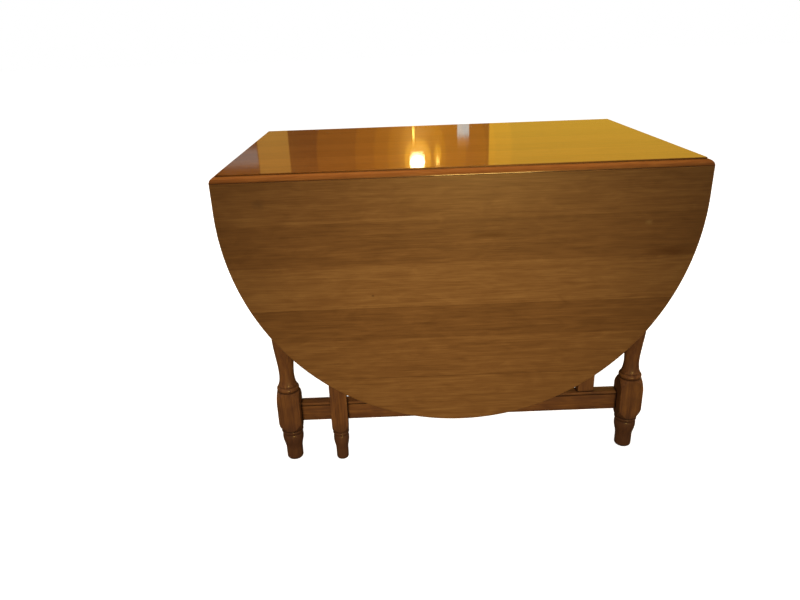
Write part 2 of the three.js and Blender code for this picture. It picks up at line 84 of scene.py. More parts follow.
def turned_outline(half, heights, top):
    """Radius and height up one side of a leg, from the middle of its foot to its top."""
    z = {name: height * MM for name, height in heights.items()}
    foot, collar, neck, belly, square = (half * share for share in (0.745, 0.95, 0.665, 0.98, 1.46))
    line = [Vector((0, 0)), Vector((foot - 4.5 * MM, 0))]
    stretches = [
        # the foot's rounded rim, its straight ankle, and the swelling above it
        (4, [(foot - 0.5 * MM, 0), (foot, 5 * MM)]),
        (3, [(foot + 0.2 * MM, z["ankle"])]),
        (14, [(foot, z["ankle"] + 14 * MM), (collar, z["collar"] - 14 * MM), (collar, z["collar"])]),
        # a fine groove, a small bead, and the shoulder under the lower square
        (4, [(0.955 * half, z["ring"] - 4 * MM), (0.87 * half, z["ring"] - 1.5 * MM)]),
        (2, [(0.88 * half, z["ring"])]),
        (8, [(1.09 * half, z["ring"] + 4.5 * MM), (0.92 * half, z["ring"] + 9 * MM)]),
        (12, [(1.25 * half, z["ring"] + 20 * MM), (square, z["block"])]),
        (2, [(square, z["block_end"])]),
        # the shoulder above it, a groove, the bead, and the hollow neck
        (12, [(1.33 * half, z["block_end"] + 20 * MM), (1.01 * half, z["bead"] - 2 * MM)]),
        (3, [(0.91 * half, z["bead"])]),
        (10, [(1.12 * half, z["bead"] + 7 * MM), (0.83 * half, z["bead"] + 13 * MM)]),
        (2, [(0.85 * half, z["bead"] + 14.5 * MM)]),
        (7, [(0.69 * half, z["bead"] + 22 * MM), (neck, z["neck"])]),
        # the long vase up to the belly and down to the upper neck
        (18, [(neck, z["neck"] + 34 * MM), (belly, z["belly"] - 40 * MM), (belly, z["belly"])]),
        (18, [(belly, z["belly"] + 55 * MM), (neck, z["upper_neck"] - 60 * MM),
              (neck, z["upper_neck"])]),
        # the upper bead, the same as the lower one upside down, and the top square
        (7, [(0.69 * half, z["upper_bead"] - 22 * MM), (0.85 * half, z["upper_bead"] - 14.5 * MM)]),
        (2, [(0.83 * half, z["upper_bead"] - 13 * MM)]),
        (10, [(1.12 * half, z["upper_bead"] - 7 * MM), (0.91 * half, z["upper_bead"])]),
        (3, [(1.01 * half, z["upper_bead"] + 2 * MM)]),
        (12, [(1.33 * half, z["top_block"] - 16 * MM), (square, z["top_block"])]),
        (2, [(square, top)]),
        (1, [(0, top)]),
    ]
    for steps, controls in stretches:
        line += curve([line[-1], *controls], steps)
    return line


def block(low, high, rub=0.0):
    """A squared block between two corners, its edges rubbed round."""
    low, high = Vector(low), Vector(high)
    bpy.ops.mesh.primitive_cube_add(size=1, location=(low + high) / 2, scale=high - low)
    bpy.ops.object.transform_apply(location=True, rotation=True, scale=True)
    if rub:
        bpy.ops.object.mode_set(mode="EDIT")
        bpy.ops.mesh.select_all(action="SELECT")
        bpy.ops.mesh.bevel(offset=rub, segments=3, affect="EDGES")
        bpy.ops.object.mode_set(mode="OBJECT")
    return bpy.context.object


def cut(piece, cutter, operation="DIFFERENCE"):
    """Shapes the piece with a second solid, which is then gone."""
    bpy.context.view_layer.objects.active = piece
    bpy.ops.object.modifier_add(type="BOOLEAN")
    modifier = piece.modifiers[-1]
    modifier.operation = operation
    modifier.object = cutter
    bpy.ops.object.modifier_apply(modifier=modifier.name)
    bpy.data.objects.remove(cutter)
    return piece


def turned_leg(half, heights, top):
    """A leg standing on the origin: the turning, wherever it is inside the square."""
    bpy.ops.mesh.primitive_plane_add(size=MM)
    bpy.ops.object.mode_set(mode="EDIT")
    bpy.ops.mesh.select_mode(type="VERT")
    bpy.ops.mesh.merge(type="CENTER")
    line = turned_outline(half, heights, top)
    for at, point in zip(line, line[1:]):
        step = point - at
        bpy.ops.mesh.extrude_region_move(TRANSFORM_OT_translate={"value": (step.x, 0, step.y)})
    bpy.ops.mesh.select_all(action="SELECT")
    bpy.ops.mesh.spin(steps=LATHE_STEPS, angle=2 * math.pi, center=(0, 0, 0), axis=(0, 0, 1))
    bpy.ops.mesh.select_all(action="SELECT")
    bpy.ops.mesh.remove_doubles(threshold=0.01 * MM)
    bpy.ops.mesh.normals_make_consistent(inside=False)
    bpy.ops.object.mode_set(mode="OBJECT")
    leg = bpy.context.object
    return cut(leg, block((-half, -half, -MM), (half, half, top + MM), LEG_RUB), "INTERSECT")


def placed(piece, name, *turns):
    """A copy of a piece, with its own mesh, moved to its place by the turns given."""
    copy = piece.copy()
    copy.data = piece.data.copy()
    bpy.context.collection.objects.link(copy)
    copy.name = copy.data.name = name
    for turn in turns:
        copy.data.transform(turn)
    return copy


CRISP_ANGLE = math.radians(32)


def soften(piece):
    """Shades the piece smooth, with its corners left crisp."""
    bpy.ops.object.select_all(action="DESELECT")
    piece.select_set(True)
    bpy.context.view_layer.objects.active = piece
    bpy.ops.object.shade_smooth_by_angle(angle=CRISP_ANGLE)
    bpy.ops.object.select_all(action="DESELECT")


def linear(colour):
    """An sRGB hex colour as the linear values that Blender works in."""
    parts = [int(colour[i:i + 2], 16) / 255 for i in (1, 3, 5)]
    return (*[c / 12.92 if c <= 0.04045 else ((c + 0.055) / 1.055) ** 2.4 for c in parts], 1)


def add(tree, kind, values={}, links={}, **settings):
    """A node with its settings, its own values and what feeds it."""
    node = tree.nodes.new("ShaderNode" + kind)
    for name, value in settings.items():
        setattr(node, name, value)
    for name, value in values.items():
        node.inputs[name].default_value = value
    for name, source in links.items():
        tree.links.new(source, node.inputs[name])
    return node


GRAIN = [  # width across the grain, length along it, share of the tone, how much it curls
    (8 * MM, 260 * MM, 0.35, 0.3),
    (24 * MM, 90 * MM, 0.38, 1.8),
    (1.8 * MM, 60 * MM, 0.6, 0.2),
]


def maple_grain(tree, along):
    """Maple's grain as a value round a half, and its fine fibres alone.

    Growth bands 8 mm wide, a cloudy, curling figure of about 24 mm, and fibres drawn 1.8 mm
    wide: the real ones are a tenth of that and would not show.
    """
    place = add(tree, "TexCoord").outputs["Object"]
    value = None
    for width, length, share, curl in GRAIN:
        scale = [1 / width] * 3
        scale["XYZ".index(along)] = 1 / length
        stretched = add(tree, "Mapping", {"Scale": scale}, {"Vector": place})
        noise = add(tree, "TexNoise", {"Scale": 1, "Detail": 3, "Distortion": curl},
                    {"Vector": stretched.outputs[0]})
        centred = add(tree, "Math", {1: 0.5}, {0: noise.outputs[0]}, operation="SUBTRACT")
        summed = add(tree, "Math", {1: share, 2: 0.5}, {0: centred.outputs[0]},
                     operation="MULTIPLY_ADD")
        if value:
            tree.links.new(value, summed.inputs[2])
        value = summed.outputs[0]
    return value, noise.outputs[0]


def ramp(tree, source, stops, interpolation="LINEAR"):
    """A value turned into the colours of the stops, each (place, colour)."""
    node = add(tree, "ValToRGB", {}, {0: source})
    node.color_ramp.interpolation = interpolation
    elements = node.color_ramp.elements
    while len(elements) < len(stops):
        elements.new(1)
    for element, (place, colour) in zip(elements, stops):
        element.position = place
        element.color = colour
    return node.outputs[0]


def new_material(name):
    """A new material, its node tree and its main shader."""
    material = bpy.data.materials.new(name)
    material.use_nodes = True
    tree = material.node_tree
    return material, tree, tree.nodes["Principled BSDF"]


# Maple stained a dark reddish brown and lacquered. The glaze is wiped off the open surfaces
# and, with painted shade, is nearly black in the grooves and corners; the feet carry painted
# shade too. The lacquer has gone to a satin.
def glazed_maple(name, along):
    material, tree, skin = new_material(name)
    grain, fibres = maple_grain(tree, along)
    wood = ramp(tree, grain, [(0.28, linear("#4a2b19")), (0.5, linear("#704724")),
                              (0.74, linear("#8d5e2d"))])

    # blotches where the glaze was wiped unevenly, some 40 mm across
    place = add(tree, "TexCoord").outputs["Object"]
    blotch = add(tree, "TexNoise", {"Scale": 1 / (40 * MM), "Detail": 2}, {"Vector": place})
    wiped = add(tree, "MapRange", {"From Min": 0.35, "From Max": 0.7, "To Max": 0.4},
                {"Value": blotch.outputs[0]})
    wood = add(tree, "MixRGB", {2: linear("#492b1e")}, {0: wiped.outputs[0], 1: wood})

    # painted shade near the floor: the legs darker from 115 mm down, fully so below 85 mm
    up = add(tree, "SeparateXYZ", {}, {0: place}).outputs["Z"]
    foot = add(tree, "MapRange", {"From Min": 115 * MM, "From Max": 85 * MM, "To Max": 0.6},
               {"Value": up})
    wood = add(tree, "MixRGB", {2: linear("#482d20")}, {0: foot.outputs[0], 1: wood.outputs[0]})

    # glaze and painted shade within 7 mm of every inner corner and groove
    nook_shade = add(tree, "AmbientOcclusion", {"Distance": 7 * MM}, samples=8)
    clear = add(tree, "MapRange", {"From Min": 0.55, "From Max": 0.93}, {"Value": nook_shade.outputs["AO"]})
    glaze_and_shade = add(tree, "MixRGB", {1: linear("#1d0e08")}, {0: clear.outputs[0], 2: wood.outputs[0]})
    tree.links.new(glaze_and_shade.outputs[0], skin.inputs["Base Color"])

    dull = add(tree, "MapRange", {"To Min": 0.34, "To Max": 0.52}, {"Value": blotch.outputs[0]})
    tree.links.new(dull.outputs[0], skin.inputs["Roughness"])
    skin.inputs["IOR"].default_value = 1.5
    skin.inputs["Coat Weight"].default_value = 0.35
    skin.inputs["Coat Roughness"].default_value = 0.18
    bump = add(tree, "Bump", {"Strength": 0.25, "Distance": 0.25 * MM}, {"Height": fibres})
    tree.links.new(bump.outputs[0], skin.inputs["Normal"])
    return material


upright_maple = glazed_maple("glazed_maple_upright", "Z")
leg_pattern = turned_leg(leg_half, LEG_HEIGHTS, leg_high.z)
soften(leg_pattern)
for end in ("front", "rear"):
    for hand in ("left", "right"):
        low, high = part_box(f"{end}_{hand}_leg")
        middle = (low + high) / 2
        stand = Matrix.Translation((middle.x, middle.y, 0))
        leg = placed(leg_pattern, f"turned_leg_{end}_{hand}", stand)
        leg.data.materials.append(upright_maple)
        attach(leg, "frame")
        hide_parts(f"{end}_{hand}_leg")
bpy.data.objects.remove(leg_pattern)


# ---- aprons and corner blocks ----
# Four plain maple boards join the tops of the legs, tenoned in, stained like them. The blocks
# glued and screwed across the inner corners are left as they came from the saw.

lengthwise_maple = glazed_maple("glazed_maple_lengthwise", "X")
crosswise_maple = glazed_maple("glazed_maple_crosswise", "Y")


# Plain sawn wood: pale, dry and matt, with the grain standing up a little.
def sawn_wood(name, along):
    material, tree, skin = new_material(name)
    grain, fibres = maple_grain(tree, along)
    wood = ramp(tree, grain, [(0.3, linear("#8f6a3c")), (0.5, linear("#b08a55")),
                              (0.7, linear("#c7a571"))])
    tree.links.new(wood, skin.inputs["Base Color"])
    skin.inputs["Roughness"].default_value = 0.82
    bump = add(tree, "Bump", {"Strength": 0.5, "Distance": 0.3 * MM}, {"Height": fibres})
    tree.links.new(bump.outputs[0], skin.inputs["Normal"])
    return material


def paint(material, *names):
    """Gives CAD nodes their finish."""
    for name in names:
        for material_slot in frame["nodes"][name].material_slots:
            material_slot.material = material


paint(lengthwise_maple, "front_apron", "rear_apron")
paint(crosswise_maple, "left_apron", "right_apron")
block_wood = sawn_wood("sawn_wood", "Z")
for end in ("front", "rear"):
    paint(block_wood, f"{end}_left_corner_block", f"{end}_right_corner_block")


# ---- the long stretchers ----
# A maple rail low down between each pair of legs. A scratch stock has cut a bead along its
# outer top edge, with a fine groove under it. It carries the foot of the gate.

HALF_TURN = Matrix.Rotation(math.pi, 4, "Z")
SHOULDER_GAP = 0.3 * MM
BEAD = 7 * MM
BEAD_ROUND = BEAD / 2 - 0.2 * MM
BEAD_FOOT_ROUND = 1.7 * MM
QUIRK_HEIGHT = 1.9 * MM
QUIRK_DEPTH = 1.8 * MM
RAIL_RUB = 0.8 * MM
SAME_PLACE = 0.02 * MM
PAST_ALL = 1.0  # metres, for cutters that reach right through


def pick(kind, test):
    """Selects the corners, edges or faces whose every corner passes the test."""
    bpy.ops.mesh.select_mode(type=kind)
    bpy.ops.mesh.select_all(action="DESELECT")
    shape = bmesh.from_edit_mesh(bpy.context.object.data)
    for item in {"VERT": shape.verts, "EDGE": shape.edges, "FACE": shape.faces}[kind]:
        corners = [item] if kind == "VERT" else item.verts
        item.select_set(all(test(corner.co) for corner in corners))
    bmesh.update_edit_mesh(bpy.context.object.data)


def near(a, b):
    """Whether two measures are the same, but for rounding."""
    return abs(a - b) < SAME_PLACE


low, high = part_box("front_stretcher")
rail_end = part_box("front_right_leg")[0].x - SHOULDER_GAP
stretcher = block((-rail_end, low.y, low.z), (rail_end, high.y, high.z))
quirk_top = high.z - BEAD
quirk = block((-PAST_ALL, low.y - MM, quirk_top - QUIRK_HEIGHT),
              (PAST_ALL, low.y + QUIRK_DEPTH, quirk_top))
cut(stretcher, quirk)
bpy.ops.object.mode_set(mode="EDIT")
pick("EDGE", lambda co: near(co.y, low.y) and near(co.z, high.z))
bpy.ops.mesh.bevel(offset=BEAD_ROUND, segments=7, affect="EDGES")
pick("EDGE", lambda co: near(co.y, low.y) and near(co.z, quirk_top))
bpy.ops.mesh.bevel(offset=BEAD_FOOT_ROUND, segments=5, affect="EDGES")
quirk_foot = quirk_top - QUIRK_HEIGHT
pick("EDGE", lambda co: near(co.z, low.z) or (near(co.y, low.y) and near(co.z, quirk_foot)))
bpy.ops.mesh.bevel(offset=RAIL_RUB, segments=3, affect="EDGES")
bpy.ops.object.mode_set(mode="OBJECT")
soften(stretcher)
for end, turn in (("front", Matrix()), ("rear", HALF_TURN)):
    rail = placed(stretcher, f"beaded_stretcher_{end}", turn)
    rail.data.materials.append(lengthwise_maple)
    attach(rail, "frame")
    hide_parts(f"{end}_stretcher")
bpy.data.objects.remove(stretcher)


# ---- the gates ----
# A flat post stands on each stretcher and turns on steel pins in it and in the apron. Two
# rails tenoned into it carry a slimmer turned leg, which is notched at the back to lie over
# the stretcher and against the apron when the gate is closed.

# heights of the slimmer leg's turnings above the floor, in millimetres
GATE_LEG_HEIGHTS = dict(ankle=27, collar=60, ring=73, block=108, block_end=262, bead=291, neck=325,
                        belly=400, upper_neck=478, upper_bead=514, top_block=540)
GATE_LEG_HALF = 20.5 * MM
NOTCH_FACE = 11.5 * MM
REBATE_FACE = 17 * MM
NOTCH_ROOM = 1.5 * MM

swing = {joint["child"]: Vector(joint["pos_m"]) for joint in frame["joints"]}
gate_low, gate_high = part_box("front_gate_leg")
gate_foot = (gate_low + gate_high) / 2
reach = swing["front_gate"] - gate_foot
closed = math.atan2(reach.y, reach.x)
stretcher_low, stretcher_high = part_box("front_stretcher")
apron_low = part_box("front_apron")[0]

gate_leg = turned_leg(GATE_LEG_HALF, GATE_LEG_HEIGHTS, gate_high.z)
side = 2 * GATE_LEG_HALF
notch = block((-side, NOTCH_FACE, stretcher_low.z - NOTCH_ROOM),
              (side, side, stretcher_high.z + NOTCH_ROOM))
cut(gate_leg, notch)
cut(gate_leg, block((-side, REBATE_FACE, apron_low.z - 2 * NOTCH_ROOM), (side, side, PAST_ALL)))
soften(gate_leg)
stand = Matrix.Translation((gate_foot.x, gate_foot.y, 0)) @ Matrix.Rotation(closed, 4, "Z")
for end, turn in (("front", stand), ("rear", HALF_TURN @ stand)):
    leg = placed(gate_leg, f"turned_gate_leg_{end}", turn)
    leg.data.materials.append(upright_maple)
    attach(leg, f"{end}_gate")
    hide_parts(f"{end}_gate_leg")
    paint(upright_maple, f"{end}_gate_post")
    paint(lengthwise_maple, f"{end}_gate_upper_rail", f"{end}_gate_lower_rail")
    paint(block_wood, f"{end}_gate_stop")
bpy.data.objects.remove(gate_leg)


# ---- pivots and hinge pins ----
# Each gate turns on two steel pins, one in the stretcher and one in the apron. A thinner pin
# runs through the knuckles of each hinge. All are cut from drawn rod.

# Plain drawn steel, a little greyed, with the fine marks of drawing along it.
def drawn_steel(name, along):
    material, tree, skin = new_material(name)
    place = add(tree, "TexCoord").outputs["Object"]
    scale = [1 / (0.4 * MM)] * 3
    scale["XYZ".index(along)] = 1 / (12 * MM)
    stretched = add(tree, "Mapping", {"Scale": scale}, {"Vector": place})
    marks = add(tree, "TexNoise", {"Scale": 1, "Detail": 2}, {"Vector": stretched.outputs[0]})
    tone = ramp(tree, marks.outputs[0], [(0.3, linear("#777572")), (0.7, linear("#a5a4a0"))])
    tree.links.new(tone, skin.inputs["Base Color"])
    dull = add(tree, "MapRange", {"To Min": 0.28, "To Max": 0.5}, {"Value": marks.outputs[0]})
    tree.links.new(dull.outputs[0], skin.inputs["Roughness"])
    skin.inputs["Metallic"].default_value = 1
    return material


upright_steel = drawn_steel("drawn_steel_upright", "Z")
lengthwise_steel = drawn_steel("drawn_steel_lengthwise", "X")
for end in ("front", "rear"):
    paint(upright_steel, f"{end}_gate_upper_pivot", f"{end}_gate_lower_pivot")
    paint(lengthwise_steel, *[f"{end}_hinge_{i}_pin" for i in (1, 2, 3)])


# ---- the fixed top ----
# Maple boards glued edge to edge, lying lengthwise. Each long edge is moulded for the rule
# joint: a small square step, then a quarter round that the leaf's hollow closes over. The
# ends are eased. Its lacquer is thick and polished to a high gloss. Its colours are painted
# oranger and lighter than the leaves': painted warm light on the same wood.

TOP_JOINTS = [-0.262, -0.163, -0.069, 0.030, 0.132, 0.231]
TOP_TONES = [0.5, 0.56, 0.46, 0.54, 0.44, 0.52, 0.48]
STEP = 3.2 * MM
EASED = 4 * MM
UNDER_RUB = 0.6 * MM
RECESS_ROOM = 0.5 * MM
RECESS_DEPTH = 1.8 * MM
KNUCKLE_ROOM = 3.5 * MM

top_low, top_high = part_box("centre_top")
pin = swing["front_leaf"]
round_top = top_high.z - STEP
top = block(top_low, (top_high.x, top_high.y, round_top))
bpy.ops.object.mode_set(mode="EDIT")
pick("EDGE", lambda co: near(abs(co.y), top_high.y) and near(co.z, round_top))
bpy.ops.mesh.bevel(offset=round_top - pin.z, segments=12, affect="EDGES")
pick("FACE", lambda co: near(co.z, round_top))
bpy.ops.mesh.extrude_region_move(TRANSFORM_OT_translate={"value": (0, 0, STEP)})
pick("EDGE", lambda co: near(abs(co.x), top_high.x) and near(co.z, top_high.z))
bpy.ops.mesh.bevel(offset=EASED, segments=6, affect="EDGES")
pick("EDGE", lambda co: near(abs(co.y), top_high.y) and near(co.z, top_low.z))
bpy.ops.mesh.bevel(offset=UNDER_RUB, segments=2, affect="EDGES")
bpy.ops.object.mode_set(mode="OBJECT")


def grown(node, room):
    """The box of a CAD node with room on every side."""
    low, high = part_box(node)
    room = Vector((room, room, room))
    return low - room, high + room


for end in ("front", "rear"):
    for i in (1, 2, 3):
        low, high = grown(f"{end}_hinge_{i}_top_plate", RECESS_ROOM)
        outward = -1 if end == "front" else 1
        across = [low.y, high.y]
        across[outward > 0] = outward * (top_high.y + MM)
        bed = top_low.z + RECESS_DEPTH
        cut(top, block((low.x, across[0], top_low.z - MM), (high.x, across[1], bed)))
        line_y = outward * abs(pin.y)
        knuckle_bed = block((low.x, line_y - KNUCKLE_ROOM, top_low.z - MM),
                            (high.x, line_y + KNUCKLE_ROOM, pin.z + KNUCKLE_ROOM))
        cut(top, knuckle_bed)


HAIRLINE = 0.7 * MM
HAIRLINE_TONE = 0.3


# Maple boards stained golden brown under a clear polished lacquer. The boards differ a little
# in tone, and the joints between them are hairlines.
def board_maple(name, across, span, joints, tones, colours, coat, coat_roughness, marks=()):
    material, tree, skin = new_material(name)
    grain, fibres = maple_grain(tree, "X")
    place = add(tree, "TexCoord").outputs["Object"]
    parts = add(tree, "SeparateXYZ", {}, {0: place})
    height = add(tree, "MapRange", {"From Min": span[0], "From Max": span[1]},
                 {"Value": parts.outputs["XYZ".index(across)]})
    stops = [(0, (tones[0],) * 3 + (1,))]
    hairline = HAIRLINE / (span[1] - span[0])
    for joint, tone in zip(joints, tones[1:]):
        at = (joint - span[0]) / (span[1] - span[0])
        stops += [(at - hairline, (HAIRLINE_TONE,) * 3 + (1,)), (at + hairline, (tone,) * 3 + (1,))]
    board = ramp(tree, height.outputs[0], stops, "CONSTANT")
    shifted = add(tree, "Math", {}, {0: grain, 1: board}, operation="ADD")
    value = add(tree, "Math", {1: 0.5}, {0: shifted.outputs[0]}, operation="SUBTRACT").outputs[0]
    dark, middle, pale = [linear(colour) for colour in colours]
    wood = ramp(tree, value, [(0.22, dark), (0.5, middle), (0.78, pale)])

    # mineral streaks and pin knots, each a soft-edged oval drawn out along the grain
    for spot, radii, colour in marks:
        oval = add(tree, "Mapping", {"Location": spot, "Scale": radii}, {"Vector": place},
                   vector_type="TEXTURE")
        ragged = add(tree, "TexNoise", {"Scale": 2.2, "Detail": 3}, {"Vector": oval.outputs[0]})
        far = add(tree, "VectorMath", {}, {0: oval.outputs[0]}, operation="LENGTH")
        rough = add(tree, "Math", {1: 1.2}, {0: ragged.outputs[0], 2: far.outputs["Value"]},
                    operation="MULTIPLY_ADD")
        inside = add(tree, "MapRange", {"From Min": 1.7, "From Max": 0.7, "To Max": 0.75},
                     {"Value": rough.outputs[0]})
        wood = add(tree, "MixRGB", {2: linear(colour)}, {0: inside.outputs[0], 1: wood}).outputs[0]

    # painted shade in the step of the moulding, in the joint with the leaf and in every other inner
    # corner, within 5 mm
    nook_shade = add(tree, "AmbientOcclusion", {"Distance": 5 * MM}, samples=8)
    clear = add(tree, "MapRange", {"From Min": 0.55, "From Max": 0.9}, {"Value": nook_shade.outputs["AO"]})
    wood = add(tree, "MixRGB", {1: linear("#2e1606")}, {0: clear.outputs[0], 2: wood}).outputs[0]

    tree.links.new(wood, skin.inputs["Base Color"])
    dull = add(tree, "MapRange", {"To Min": 0.3, "To Max": 0.45}, {"Value": fibres})
    tree.links.new(dull.outputs[0], skin.inputs["Roughness"])
    skin.inputs["IOR"].default_value = 1.5
    skin.inputs["Coat Weight"].default_value = coat
    skin.inputs["Coat Roughness"].default_value = coat_roughness
    bump = add(tree, "Bump", {"Strength": 0.12, "Distance": 0.15 * MM}, {"Height": fibres})
    tree.links.new(bump.outputs[0], skin.inputs["Normal"])
    tree.links.new(bump.outputs[0], skin.inputs["Coat Normal"])
    return material


# the top's colours are painted oranger and lighter than the leaves': painted warm light on the same
# wood
warm_lit_top_maple = board_maple(
    "top_maple_in_warm_light", "Y", (top_low.y, top_high.y), TOP_JOINTS, TOP_TONES,
    ["#754316", "#8b531e", "#a1672a"], coat=1.0, coat_roughness=0.04)
soften(top)
top.name = top.data.name = "rule_jointed_top"
top.data.materials.clear()
top.data.materials.append(warm_lit_top_maple)
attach(top, "frame")
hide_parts("centre_top")


# ---- the two leaves ----
# Each leaf is half an oval with short straight ends, of boards glued edge to edge. Its edge
# is rounded all round, and along the hinge it is hollowed to fit over the top's moulded edge,
# which leaves a thin lip. It lies in the hanging position here. Its colours are painted
# browner and darker than the top's: painted shade on the same wood.

LEAF_STRAIGHT = 63.5 * MM
HOLLOW_GAP = 0.5 * MM
OVAL_STEPS = 256
LEAF_JOINTS = [0.250, 0.351, 0.430, 0.534, 0.632]
LEAF_TONES = [0.54, 0.5, 0.40, 0.58, 0.42, 0.52]
FACE_Y = -0.352  # the leaf's outer face
THROUGH = 0.05  # so that a mark goes right through the board
LEAF_MARKS = [  # middle, radii, colour: two streaks, two knots and a speck
    ((0.465, FACE_Y, 0.541), (0.065, THROUGH, 0.014), "#54300f"),
    ((0.406, FACE_Y, 0.610), (0.010, THROUGH, 0.007), "#8d6a3a"),
    ((-0.434, FACE_Y, 0.680), (0.016, THROUGH, 0.014), "#654523"),
    ((0.06, FACE_Y, 0.594), (0.055, THROUGH, 0.006), "#573410"),
    ((-0.201, FACE_Y, 0.462), (0.004, THROUGH, 0.003), "#3a200c"),
]

leaf_low, leaf_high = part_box("front_leaf")
oval_middle = pin.z - LEAF_STRAIGHT
bpy.ops.mesh.primitive_circle_add(vertices=OVAL_STEPS, radius=leaf_high.x, fill_type="NGON",
                                  location=(0, leaf_low.y, oval_middle), rotation=(math.pi / 2, 0, 0))
bpy.ops.object.transform_apply(location=True, rotation=True, scale=True)
leaf = bpy.context.object
bpy.ops.object.mode_set(mode="EDIT")
bpy.ops.mesh.select_all(action="SELECT")
bpy.ops.transform.resize(value=(1, 1, (oval_middle - leaf_low.z) / leaf_high.x),
                         center_override=(0, leaf_low.y, oval_middle))
bpy.ops.mesh.bisect(plane_co=(0, 0, oval_middle), plane_no=(0, 0, 1), clear_outer=True)
pick("EDGE", lambda co: near(co.z, oval_middle))
bpy.ops.mesh.extrude_region_move(TRANSFORM_OT_translate={"value": (0, 0, leaf_high.z - oval_middle)})
pick("EDGE", lambda co: near(co.z, oval_middle))
bpy.ops.mesh.dissolve_edges(use_verts=False)
bpy.ops.mesh.select_all(action="SELECT")
bpy.ops.mesh.extrude_region_move(TRANSFORM_OT_translate={"value": (0, leaf_high.y - leaf_low.y, 0)})
bpy.ops.mesh.select_all(action="SELECT")
bpy.ops.mesh.normals_make_consistent(inside=False)
for face in (leaf_low.y, leaf_high.y):
    pick("EDGE", lambda co: near(co.y, face))
    shape = bmesh.from_edit_mesh(leaf.data)
    for edge in shape.edges:
        if all(near(corner.co.z, leaf_high.z) for corner in edge.verts):
            edge.select_set(False)
    bmesh.update_edit_mesh(leaf.data)
    bpy.ops.mesh.bevel(offset=EASED, segments=6, affect="EDGES")
bpy.ops.object.mode_set(mode="OBJECT")

hollow = round_top - pin.z + HOLLOW_GAP
bpy.ops.mesh.primitive_cylinder_add(vertices=96, radius=hollow, depth=3 * top_high.x,
                                    location=pin, rotation=(0, math.pi / 2, 0))
cut(leaf, bpy.context.object)
cut(leaf, block((-PAST_ALL, pin.y, pin.z - hollow), (PAST_ALL, 0, PAST_ALL)))
for i in (1, 2, 3):
    low, high = grown(f"front_hinge_{i}_leaf_plate", RECESS_ROOM)
    cut(leaf, block((low.x, leaf_high.y - RECESS_DEPTH, low.z), (high.x, 0, PAST_ALL)))

# the leaves' colours are painted browner and darker than the top's: painted shade on the same wood
shaded_leaf_maple = board_maple(
    "leaf_maple_in_shade", "Z", (leaf_low.z, leaf_high.z), LEAF_JOINTS, LEAF_TONES,
    ["#613f1c", "#785127", "#8d6534"], coat=0.5, coat_roughness=0.16, marks=LEAF_MARKS)
soften(leaf)
for end, turn in (("front", Matrix()), ("rear", HALF_TURN)):
    half_oval = placed(leaf, f"oval_leaf_{end}", turn)
    half_oval.data.materials.clear()
    half_oval.data.materials.append(shaded_leaf_maple)
    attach(half_oval, f"{end}_leaf")
    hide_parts(f"{end}_leaf")
bpy.data.objects.remove(leaf)


# ---- hinges and their screws ----
# Three drop-leaf hinges to a leaf, pressed from brass-plated steel, let in flush. The plate on
# the leaf is longer, to reach past the hollow. Round-headed brass screws hold each plate.

HEAD_RADIUS = 3.2 * MM
HEAD_HEIGHT = 1.7 * MM
SHANK_RADIUS = 1.7 * MM
SHANK_LENGTH = 12 * MM
SLOT_WIDTH = 0.8 * MM
SCREW_PLACES = [(-12 * MM, 0.5), (0, 0.82), (12 * MM, 0.5)]  # aside, share of the plate's reach
SCREW_TURNS = (0.7, 2.1)  # radians: the first slot's turn, and how much more each next one has


# Thin brass plating, dulled brown by age in patches some 6 mm across, a few still yellow.
def aged_brass(name):
    material, tree, skin = new_material(name)
    place = add(tree, "TexCoord").outputs["Object"]
    tarnish = add(tree, "TexNoise", {"Scale": 1 / (6 * MM), "Detail": 4}, {"Vector": place})
    tone = ramp(tree, tarnish.outputs[0], [(0.35, linear("#5e4520")), (0.6, linear("#a9873f"))])
    tree.links.new(tone, skin.inputs["Base Color"])
    dull = add(tree, "MapRange", {"To Min": 0.55, "To Max": 0.28}, {"Value": tarnish.outputs[0]})
    tree.links.new(dull.outputs[0], skin.inputs["Roughness"])
    skin.inputs["Metallic"].default_value = 1
    return material


brass = aged_brass("aged_brass_plate")
bpy.ops.mesh.primitive_cylinder_add(vertices=32, radius=HEAD_RADIUS, depth=HEAD_HEIGHT,
                                    location=(0, 0, -HEAD_HEIGHT / 2))
bpy.ops.object.transform_apply(location=True, rotation=True, scale=True)
bpy.ops.object.mode_set(mode="EDIT")
pick("EDGE", lambda co: near(co.z, -HEAD_HEIGHT))
bpy.ops.mesh.bevel(offset=0.85 * HEAD_HEIGHT, segments=5, affect="EDGES")
pick("FACE", lambda co: near(co.z, 0))
bpy.ops.mesh.inset(thickness=HEAD_RADIUS - SHANK_RADIUS)
bpy.ops.mesh.extrude_region_move(TRANSFORM_OT_translate={"value": (0, 0, 0.75 * SHANK_LENGTH)})
bpy.ops.mesh.extrude_region_move(TRANSFORM_OT_translate={"value": (0, 0, 0.25 * SHANK_LENGTH)})
bpy.ops.transform.resize(value=(0.15, 0.15, 1))
bpy.ops.object.mode_set(mode="OBJECT")
screw = bpy.context.object
cut(screw, block((-PAST_ALL, -SLOT_WIDTH / 2, -2 * HEAD_HEIGHT),
                 (PAST_ALL, SLOT_WIDTH / 2, -HEAD_HEIGHT / 2)))
soften(screw)

